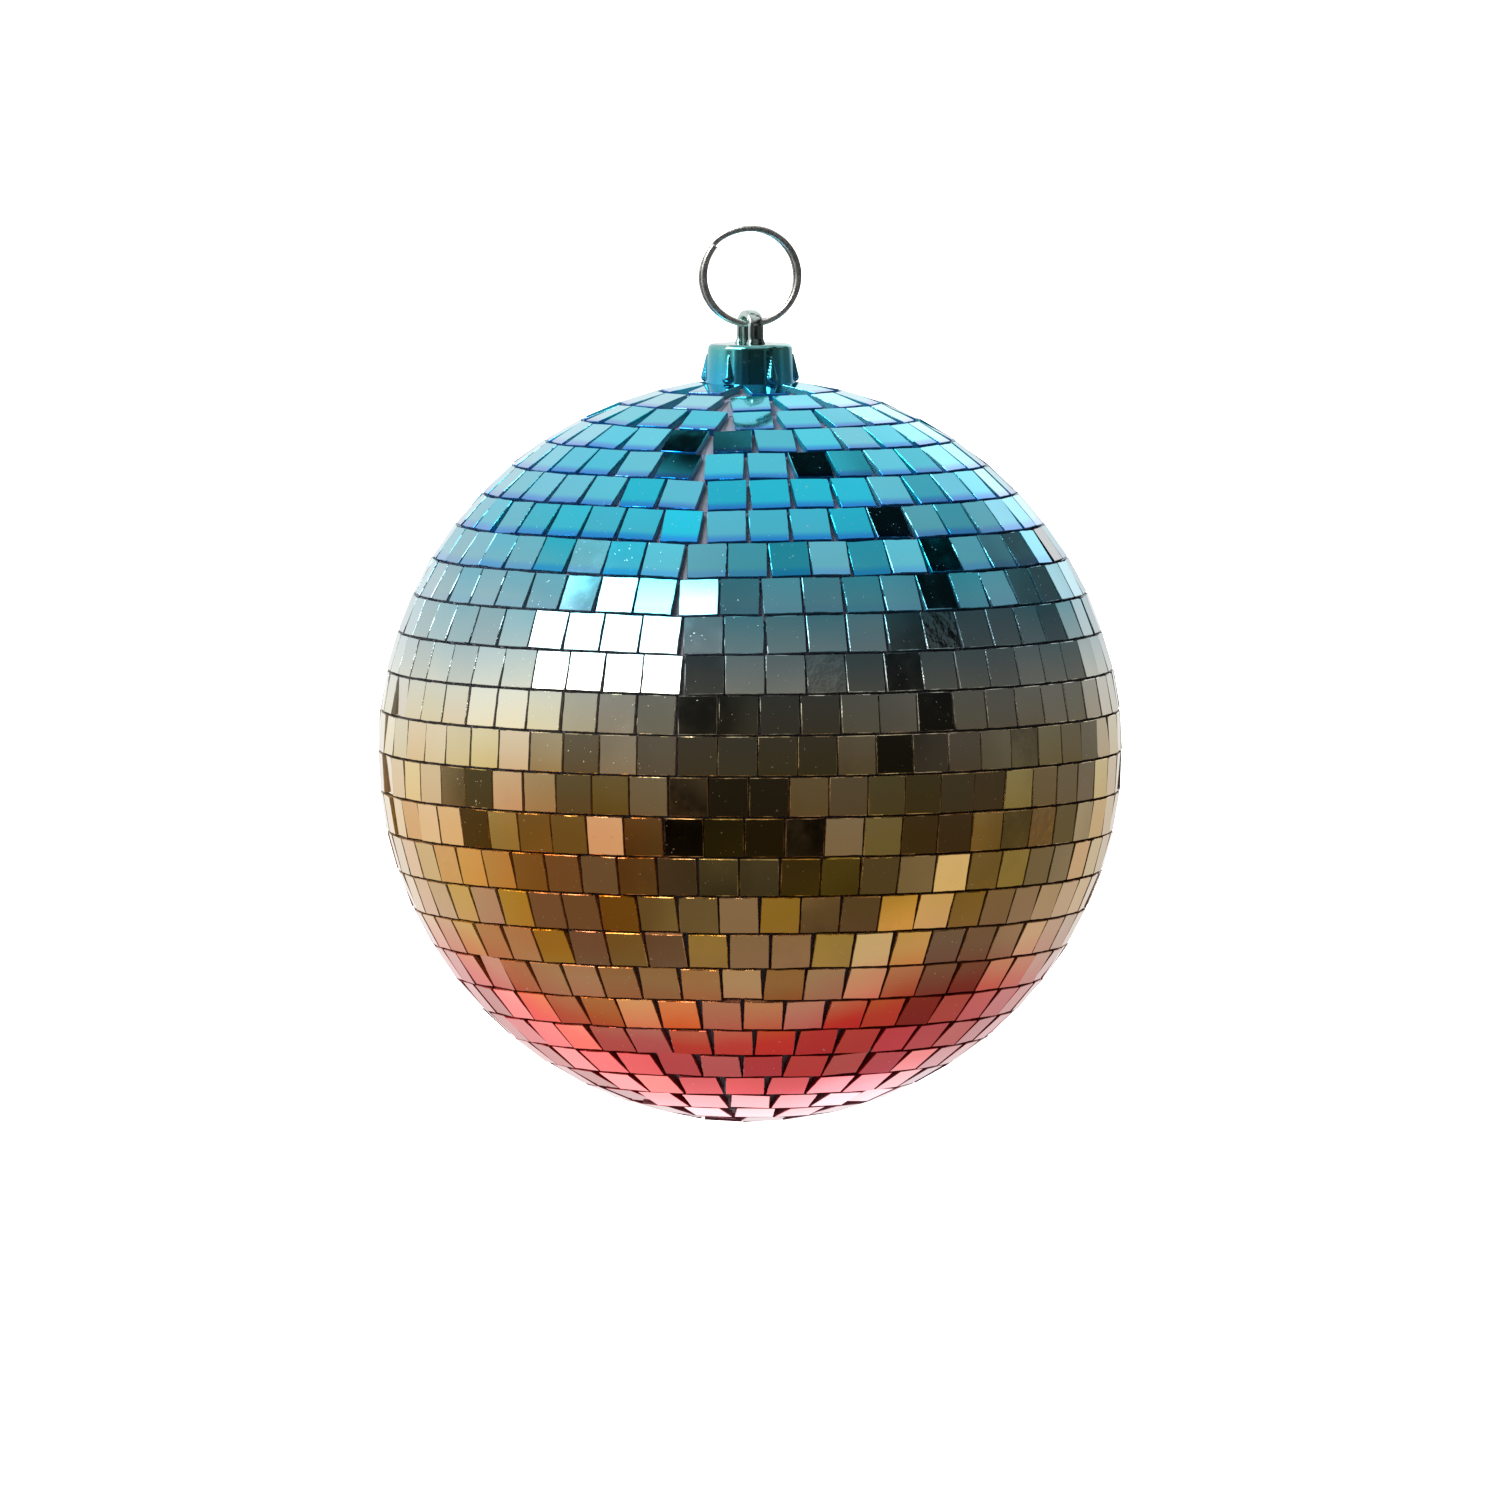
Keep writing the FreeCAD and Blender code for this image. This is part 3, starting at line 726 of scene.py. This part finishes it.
def tile_piece(node_name, seed, material):
    """One row of glass tiles, in the place of its CAD row."""
    rng = random.Random(seed)
    sheet = TileSheet()
    for corners in tile_boxes(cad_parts[node_name]):
        add_tile(sheet, corners, rng)
    mesh = bpy.data.meshes.new(node_name + "_glass")
    mesh.from_pydata(sheet.vertices, [], sheet.faces)
    layer = mesh.attributes.new("place", "FLOAT_VECTOR", "POINT")
    layer.data.foreach_set("vector", [number for place in sheet.places for number in place])
    for kind in ("cut", "side"):
        add_face_number(mesh, kind, [1.0 if found == kind else 0.0 for found in sheet.kinds])
    for name in ("tone", "hue", "strength", "smeared", "crinkled"):
        add_face_number(mesh, name, [note[name] for note in sheet.notes])
    mesh.polygons.foreach_set("use_smooth", [kind == "face" for kind in sheet.kinds])
    sharp = mesh.attributes.new("sharp_edge", "BOOLEAN", "EDGE")
    on_rim = [frozenset(edge.vertices) in sheet.sharp for edge in mesh.edges]
    sharp.data.foreach_set("value", on_rim)
    mesh.materials.append(material)
    mesh.update()
    piece = bpy.data.objects.new(node_name + "_glass", mesh)
    bpy.context.scene.collection.objects.link(piece)
    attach(piece, "ball")
    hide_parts(node_name)


# ================================================================ split ring, cap and loop
def add_piece(name, vertices, faces, material):
    """A smooth-shaded mesh piece in the row frame."""
    mesh = bpy.data.meshes.new(name)
    mesh.from_pydata(vertices, [], faces)
    mesh.polygons.foreach_set("use_smooth", [True] * len(mesh.polygons))
    mesh.materials.append(material)
    mesh.update()
    piece = bpy.data.objects.new(name, mesh)
    bpy.context.scene.collection.objects.link(piece)
    return piece


def skin(sections):
    """Vertices and faces of a closed tube through a list of equal rings of points."""
    count = len(sections[0])
    vertices = [point for section in sections for point in section]
    faces = []
    for step in range(len(sections) - 1):
        for here in range(count):
            beyond = (here + 1) % count
            faces.append((
                step * count + here,
                step * count + beyond,
                (step + 1) * count + beyond,
                (step + 1) * count + here,
            ))
    faces.append(tuple(reversed(range(count))))
    faces.append(tuple(range(len(vertices) - count, len(vertices))))
    return vertices, faces


def soft_square(half_width, half_height, squareness, count):
    """Points round an oval that is fuller than an ellipse, as a worn or moulded section is."""
    points = []
    for index in range(count):
        turn = 2 * math.pi * index / count
        power = 2 / squareness
        wide = math.copysign(abs(math.cos(turn)) ** power, math.cos(turn)) * half_width
        high = math.copysign(abs(math.sin(turn)) ** power, math.sin(turn)) * half_height
        points.append((wide, high))
    return points


def turned(point, yaw):
    """A point turned about the upright axis."""
    return Vector((
        point.x * math.cos(yaw) - point.y * math.sin(yaw),
        point.x * math.sin(yaw) + point.y * math.cos(yaw),
        point.z,
    ))


def wire_section(outline, degrees, kept_width):
    """The wire's section this many degrees along, on the front turn, the back one or between."""
    part_way = (degrees - CROSSOVER_START) / (CROSSOVER_END - CROSSOVER_START)
    part_way = min(max(part_way, 0), 1)
    share = part_way * part_way * (3 - 2 * part_way)
    turn = math.radians(degrees)
    radial = Vector((math.cos(turn), 0, math.sin(turn)))
    shift = Vector(((0.5 - share) * RING_TURN_SHIFT, 0, 0))
    depth = (share - 0.5) * (RING_TURN_THICKNESS + RING_TURN_GAP)
    wire_middle = RING_RADIUS - RING_WIRE_WIDTH / 2
    section = []
    for wide, high in outline:
        point = radial * (wire_middle + wide * kept_width) + shift
        point.y = depth + high * kept_width
        section.append(turned(point, RING_YAW) + RING_CENTRE)
    return section


def split_ring(material):
    """One wire wound nearly twice round, crossing over from the front turn to the back one."""
    outline = soft_square(
        RING_WIRE_WIDTH / 2, RING_TURN_THICKNESS / 2, RING_SQUARENESS, RING_SECTION_POINTS
    )
    step_degrees = 2
    sections = [wire_section(outline, WIRE_START, NIPPED_END)]
    for degrees in range(WIRE_START, WIRE_END + 1, step_degrees):
        sections.append(wire_section(outline, degrees, 1.0))
    sections.append(wire_section(outline, WIRE_END, NIPPED_END))
    piece = add_piece("split_ring_wire", *skin(sections), material)
    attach(piece, "hanging_ring")
    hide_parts("split_ring")


def rounded_corner(middle, radius, start_degrees, end_degrees, count=6):
    """Points (radius, height) along a rounded corner of a turned profile."""
    points = []
    for index in range(count + 1):
        turn = math.radians(start_degrees + (end_degrees - start_degrees) * index / count)
        points.append((middle[0] + radius * math.cos(turn), middle[1] + radius * math.sin(turn)))
    return points


def cap_profile():
    """The cap's outside from the middle of its top to its foot, then back up the inside."""
    top_corner = (CAP_TOP_RADIUS - CAP_EDGE_ROUNDING, CAP_TOP - CAP_EDGE_ROUNDING)
    foot_corner = (CAP_FOOT_RADIUS - FOOT_ROUNDING, CAP_FOOT + FOOT_ROUNDING)
    top_steps = 5
    profile = [(top_corner[0] * step / top_steps, CAP_TOP) for step in range(1, top_steps)]
    profile += rounded_corner(top_corner, CAP_EDGE_ROUNDING, 90, 0)
    wall_start = profile[-1]
    wall_end = (CAP_FOOT_RADIUS, foot_corner[1])
    wall_steps = 48
    for step in range(1, wall_steps):
        share = step / wall_steps
        profile.append((
            wall_start[0] + (wall_end[0] - wall_start[0]) * share,
            wall_start[1] + (wall_end[1] - wall_start[1]) * share,
        ))
    profile += rounded_corner(foot_corner, FOOT_ROUNDING, 0, -90, 4)
    profile.append((CAP_FOOT_RADIUS - CAP_WALL, CAP_FOOT))
    profile.append((CAP_TOP_RADIUS - CAP_WALL, CAP_TOP - CAP_ROOF))
    profile.append((CAP_TOP_RADIUS / 4, CAP_TOP - CAP_ROOF))
    return profile


def rib_surface(azimuth, height):
    """How far out the nearest rib reaches at a place on the cap's wall, or 0 off the ribs."""
    tip = CAP_TOP - RIB_START_BELOW_TOP
    foot = CAP_FOOT + RIB_FOOT_ABOVE_RIM
    if not foot < height < tip:
        return 0.0
    # the front is midway between two ribs
    front = -math.pi / 2
    spacing = 2 * math.pi / RIB_COUNT
    off_rib = (azimuth - front) % spacing - spacing / 2
    share = (tip - height) / (tip - foot)
    radius = RIB_TIP_RADIUS + (RIB_FOOT_RADIUS - RIB_TIP_RADIUS) * share
    under_curve = max(0.0, 1 - (height - foot) / RIB_FOOT_ROUNDING)
    radius *= math.sqrt(1 - under_curve ** 2)
    aside = RIB_LINE_RADIUS * math.sin(off_rib)
    if abs(aside) >= radius:
        return 0.0
    return RIB_LINE_RADIUS * math.cos(off_rib) + math.sqrt(radius ** 2 - aside ** 2)


def cap_body(material):
    """The hollow plated cap, with a teardrop rib at every sixth of its wall."""
    around = 360
    profile = cap_profile()
    sections = []
    for radius, height in profile:
        section = []
        for index in range(around):
            azimuth = 2 * math.pi * index / around
            reach = radius
            on_outside = radius > CAP_TOP_RADIUS - FOOT_ROUNDING
            if on_outside:
                reach = max(radius, rib_surface(azimuth, height))
            section.append(Vector((reach * math.cos(azimuth), reach * math.sin(azimuth), height)))
        sections.append(section)
    piece = add_piece("cap_body", *skin(sections), material)
    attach(piece, "ball")
    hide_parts("cap")


def cap_loop(material):
    """The loop: a soft square bar that rises from the cap, bends over and goes back down."""
    bar_middle = (LOOP_OUTER_RADIUS + LOOP_HOLE_RADIUS) / 2
    bar_width = LOOP_OUTER_RADIUS - LOOP_HOLE_RADIUS
    bar = soft_square(
        bar_width / 2, LOOP_THICKNESS / 2, LOOP_SQUARENESS, LOOP_SECTION_POINTS
    )
    root = CAP_TOP - CAP_EDGE_ROUNDING / 2
    leg_steps = 12
    stations = []
    for step in range(leg_steps):
        height = root + (CROWN_Z - root) * step / leg_steps
        stations.append((0.0, height))
    bend_steps = 32
    stations += [(math.pi * step / bend_steps, CROWN_Z) for step in range(bend_steps + 1)]
    for step in range(1, leg_steps + 1):
        height = CROWN_Z + (root - CROWN_Z) * step / leg_steps
        stations.append((math.pi, height))
    sections = []
    for turn, height in stations:
        radial = Vector((0, math.cos(turn), math.sin(turn)))
        nearness = 1 - (height - CAP_TOP) / CAP_EDGE_ROUNDING
        flare = 1 + LOOP_ROOT_FLARE * min(max(nearness, 0.0), 1.0)
        section = []
        for wide, deep in bar:
            point = radial * (bar_middle + wide * flare) + Vector((deep * flare, 0, height))
            section.append(turned(point, LOOP_YAW))
        sections.append(section)
    piece = add_piece("cap_loop", *skin(sections), material)
    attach(piece, "ball")
    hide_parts("cap")


# ================================================================ carried-over CAD pieces
def finish_node(node_name, material):
    """Give a CAD node its finish."""
    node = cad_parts[node_name]
    node.data.materials.clear()
    node.data.materials.append(material)


# ================================================================ studio
SOFTBOX_PLACE = (-50, 39)     # the azimuth and elevation of its middle
SOFTBOX_HALF_WIDTH = 23       # in degrees, as are its height and its soft edge
SOFTBOX_HALF_HEIGHT = 15
SOFTBOX_SOFTNESS = 2.5
SOFTBOX_BRIGHTNESS = 9.0
ARM_REACH = 6
ARM_SOFTNESS = 2
ARM_BRIGHTNESS = 0.01
FLOOR_DROP = 1.0              # how far the floor is below the ball
FLOOR_REACH = 60.0
CAMERA_DISTANCE = 3.2
CAMERA_ELEVATION = 4.3
SEEN_WIDTH = 0.310            # the width of the view at the ball
SENSOR_WIDTH = 36.0
VIEW_DEPTH = 200.0            # past the floor's far edge


def direction(azimuth, elevation):
    """A direction from the ball: azimuth 0 is to the camera, positive to its right."""
    turn = math.radians(azimuth)
    rise = math.radians(elevation)
    return Vector((
        math.sin(turn) * math.cos(rise),
        -math.cos(turn) * math.cos(rise),
        math.sin(rise),
    ))


def round_patch(tree, towards, centre, reach, softness):
    """1 inside a round patch of the studio, fading to 0 across its soft edge."""
    facing = reach_along(tree, towards, centre)
    inner = math.cos(math.radians(max(reach - softness / 2, 0)))
    outer = math.cos(math.radians(reach + softness / 2))
    return fade(tree, facing, outer, inner)


def square_patch(tree, towards, centre, half_width, half_height, softness):
    """1 inside an upright rectangle of the studio, such as the face of a softbox."""
    sideways = UP.cross(centre).normalized()
    upward = centre.cross(sideways)
    facing = reach_along(tree, towards, centre)
    mask = calculate(tree, "GREATER_THAN", facing, 0.05)
    for axis, half in ((sideways, half_width), (upward, half_height)):
        offset = reach_along(tree, towards, axis)
        slope = calculate(tree, "ABSOLUTE", calculate(tree, "DIVIDE", offset, facing))
        inner = math.tan(math.radians(half - softness / 2))
        outer = math.tan(math.radians(half + softness / 2))
        mask = calculate(tree, "MULTIPLY", mask, fade(tree, slope, outer, inner))
    return mask


def bare_room(tree, towards):
    """White walls, dimmer towards the camera, between a greyer floor and a pale ceiling."""
    backward = separate(tree, towards)["Y"]
    rise = separate(tree, towards)["Z"]
    walls = fade(tree, backward, -0.7, 0.05, 0.5, 1.0)
    room = blend_number(tree, fade(tree, rise, -0.2, -0.65), walls, 0.6)
    return blend_number(tree, fade(tree, rise, 0.75, 0.95), room, 0.9)


def room_patches(tree, towards):
    """What is darker or brighter than the bare room, each thing over the ones before it.

    Each has the direction of its middle, its reach and soft edge in degrees, and its brightness.
    """
    clutter = noise(tree, towards, 9.0, 2.0, 0.7)
    dim = fade(tree, clutter, 0.36, 0.72, 0.003, 0.16)
    shade = fade(tree, clutter, 0.34, 0.72, 0.06, 0.5)
    return [
        # the right wall, with shadow across it
        (direction(142, -8), 26, 24, 0.72),
        (direction(106, 2), 30, 16, 0.18),
        (direction(120, 40), 14, 10, 0.6),
        (direction(130, 22), 9, 6, 0.12),
        (direction(76, -12), 26, 18, shade),
        # the left wall: lit above, and cluttered below
        (direction(-84, 17), 16, 10, 1.15),
        (direction(-97, -12), 11, 6, 0.1),
        (direction(-50, -18), 20, 20, shade),
        (direction(-60, -38), 24, 20, 0.22),
        # the shaded floor in front, and the dark space round the camera
        (direction(0, -42), 32, 24, shade),
        (direction(0, -38), 22, 14, 0.16),
        (direction(46, -38), 12, 8, 0.13),
        (direction(4, -4), 42, 26, dim),
        (direction(62, -6), 20, 14, 0.06),
        # the ceiling over the camera, down to the dark at its right
        (direction(8, 46), 21, 14, 0.36),
        (direction(15, 53), 9, 8, 0.6),
        (direction(58, 37), 16, 12, 0.40),
        (direction(62, 44), 7, 5, 0.8),
        (direction(76, 22), 22, 10, 0.12),
        (direction(44, 24), 10, 10, 0.09),
        # things that stand in the dark space
        (direction(16, 10), 14, 12, 0.05),
        (direction(-14, 2), 10, 8, 0.07),
        (direction(0, -19), 13, 10, 0.02),
        (direction(29, -14), 7, 5, 0.12),
        (direction(32, -26), 6, 4, 0.3),
        (direction(0, -52), 12, 10, 0.36),
        (direction(-52, 6), 9, 4, 1.5),
        (direction(-27, 12), 7, 6, 0.2),
        (direction(-56, -6), 13, 8, 0.16),
        (direction(-29, -14), 6, 4, 0.25),
        # white card and paper that catch the softbox
        (direction(-50, -22), 6, 3, 1.0),
        (direction(78, -34), 8, 4, 0.9),
        (direction(66, -47), 8, 4, 0.95),
        (direction(60, -59), 8, 5, 0.8),
        (direction(86, -56), 7, 5, 0.8),
        (direction(-95, -70), 8, 6, 0.9),
        (direction(108, -44), 15, 12, 0.22),
        (direction(-150, -42), 14, 10, 1.4),
        (direction(-56, 64), 11, 14, 1.2),
        (direction(178, -40), 14, 10, 1.8),
        (direction(160, 22), 15, 10, 1.5),
    ]


def stand_arm():
    """The arm of a black stand, bent over the ball from the right, as a chain of dark patches."""
    places = [
        (49, 1), (61, 11), (57, 23), (66, 32), (86, 37), (94, 46), (102, 56), (139, 67), (-160, 63),
    ]
    return [(direction(*place), ARM_REACH, ARM_SOFTNESS, ARM_BRIGHTNESS) for place in places]


def studio_world():
    """A white room that is dark round the camera, with one large softbox at the upper left."""
    world = bpy.data.worlds.new("studio")
    bpy.context.scene.world = world
    world.use_nodes = True
    tree = world.node_tree
    background = tree.nodes["Background"]
    background.inputs["Color"].default_value = (1.0, 1.0, 1.0, 1.0)
    towards = tree.nodes.new("ShaderNodeTexCoord").outputs["Generated"]

    room = bare_room(tree, towards)
    for centre, reach, softness, brightness in room_patches(tree, towards) + stand_arm():
        patch = round_patch(tree, towards, centre, reach, softness)
        room = blend_number(tree, patch, room, brightness)
    softbox = square_patch(
        tree, towards, direction(*SOFTBOX_PLACE),
        SOFTBOX_HALF_WIDTH, SOFTBOX_HALF_HEIGHT, SOFTBOX_SOFTNESS,
    )
    room = blend_number(tree, softbox, room, SOFTBOX_BRIGHTNESS)

    # the camera itself sees plain white behind the ball
    seen = tree.nodes.new("ShaderNodeLightPath").outputs["Is Camera Ray"]
    tree.links.new(blend_number(tree, seen, room, 1.0), background.inputs["Strength"])


def floor_paper():
    """White studio paper."""
    material, tree, shader = new_material("floor_paper")
    place = object_place(tree)
    fibres = noise(tree, place, 90.0, 4.0)
    colour = blend_colour(tree, fibres, paint(0.97, 0.97, 0.97), paint(1.0, 1.0, 1.0))
    tree.links.new(colour, shader.inputs["Base Color"])
    tree.links.new(colour, shader.inputs["Emission Color"])
    shader.inputs["Emission Strength"].default_value = 1.0
    shader.inputs["Roughness"].default_value = 0.9
    return material


def studio_floor():
    """A wide pale floor, a metre under the hanging ball."""
    level = BALL_CENTRE.z - FLOOR_DROP
    signs = [(-1, -1), (1, -1), (1, 1), (-1, 1)]
    corners = [(x * FLOOR_REACH, y * FLOOR_REACH, level) for x, y in signs]
    mesh = bpy.data.meshes.new("floor")
    mesh.from_pydata(corners, [], [(0, 1, 2, 3)])
    mesh.materials.append(floor_paper())
    floor = bpy.data.objects.new("floor", mesh)
    floor.visible_glossy = False
    floor.visible_diffuse = False
    bpy.context.scene.collection.objects.link(floor)


def studio_camera():
    """A long lens, a little above the ball and aimed at its centre."""
    camera = bpy.data.cameras.new("camera")
    camera.sensor_width = SENSOR_WIDTH
    camera.lens = SENSOR_WIDTH * CAMERA_DISTANCE / SEEN_WIDTH
    camera.clip_end = VIEW_DEPTH
    holder = bpy.data.objects.new("camera", camera)
    bpy.context.scene.collection.objects.link(holder)
    back = direction(0, CAMERA_ELEVATION)
    holder.location = BALL_CENTRE + back * CAMERA_DISTANCE
    holder.rotation_mode = "QUATERNION"
    holder.rotation_quaternion = (-back).to_track_quat("-Z", "Y")
    bpy.context.scene.camera = holder


def main():
    """Every piece with its finish, then the studio."""
    mirror = ombre_mirror()
    for seed, name in enumerate(TILE_NODES):
        tile_piece(name, seed, mirror)
    cloth = woven_backing()
    plastic = moulded_plastic()
    zinc = zinc_steel()
    finish_node("upper_backing_strips", cloth)
    finish_node("lower_backing_strips", cloth)
    finish_node("core_upper_shell", plastic)
    finish_node("core_lower_shell", plastic)
    finish_node("cap_screw", zinc)
    finish_node("load_washer", zinc)
    plating = plated_cap()
    cap_body(plating)
    cap_loop(plating)
    split_ring(ring_steel())
    studio_world()
    studio_floor()
    studio_camera()
    bpy.context.scene.view_settings.view_transform = "Standard"


main()
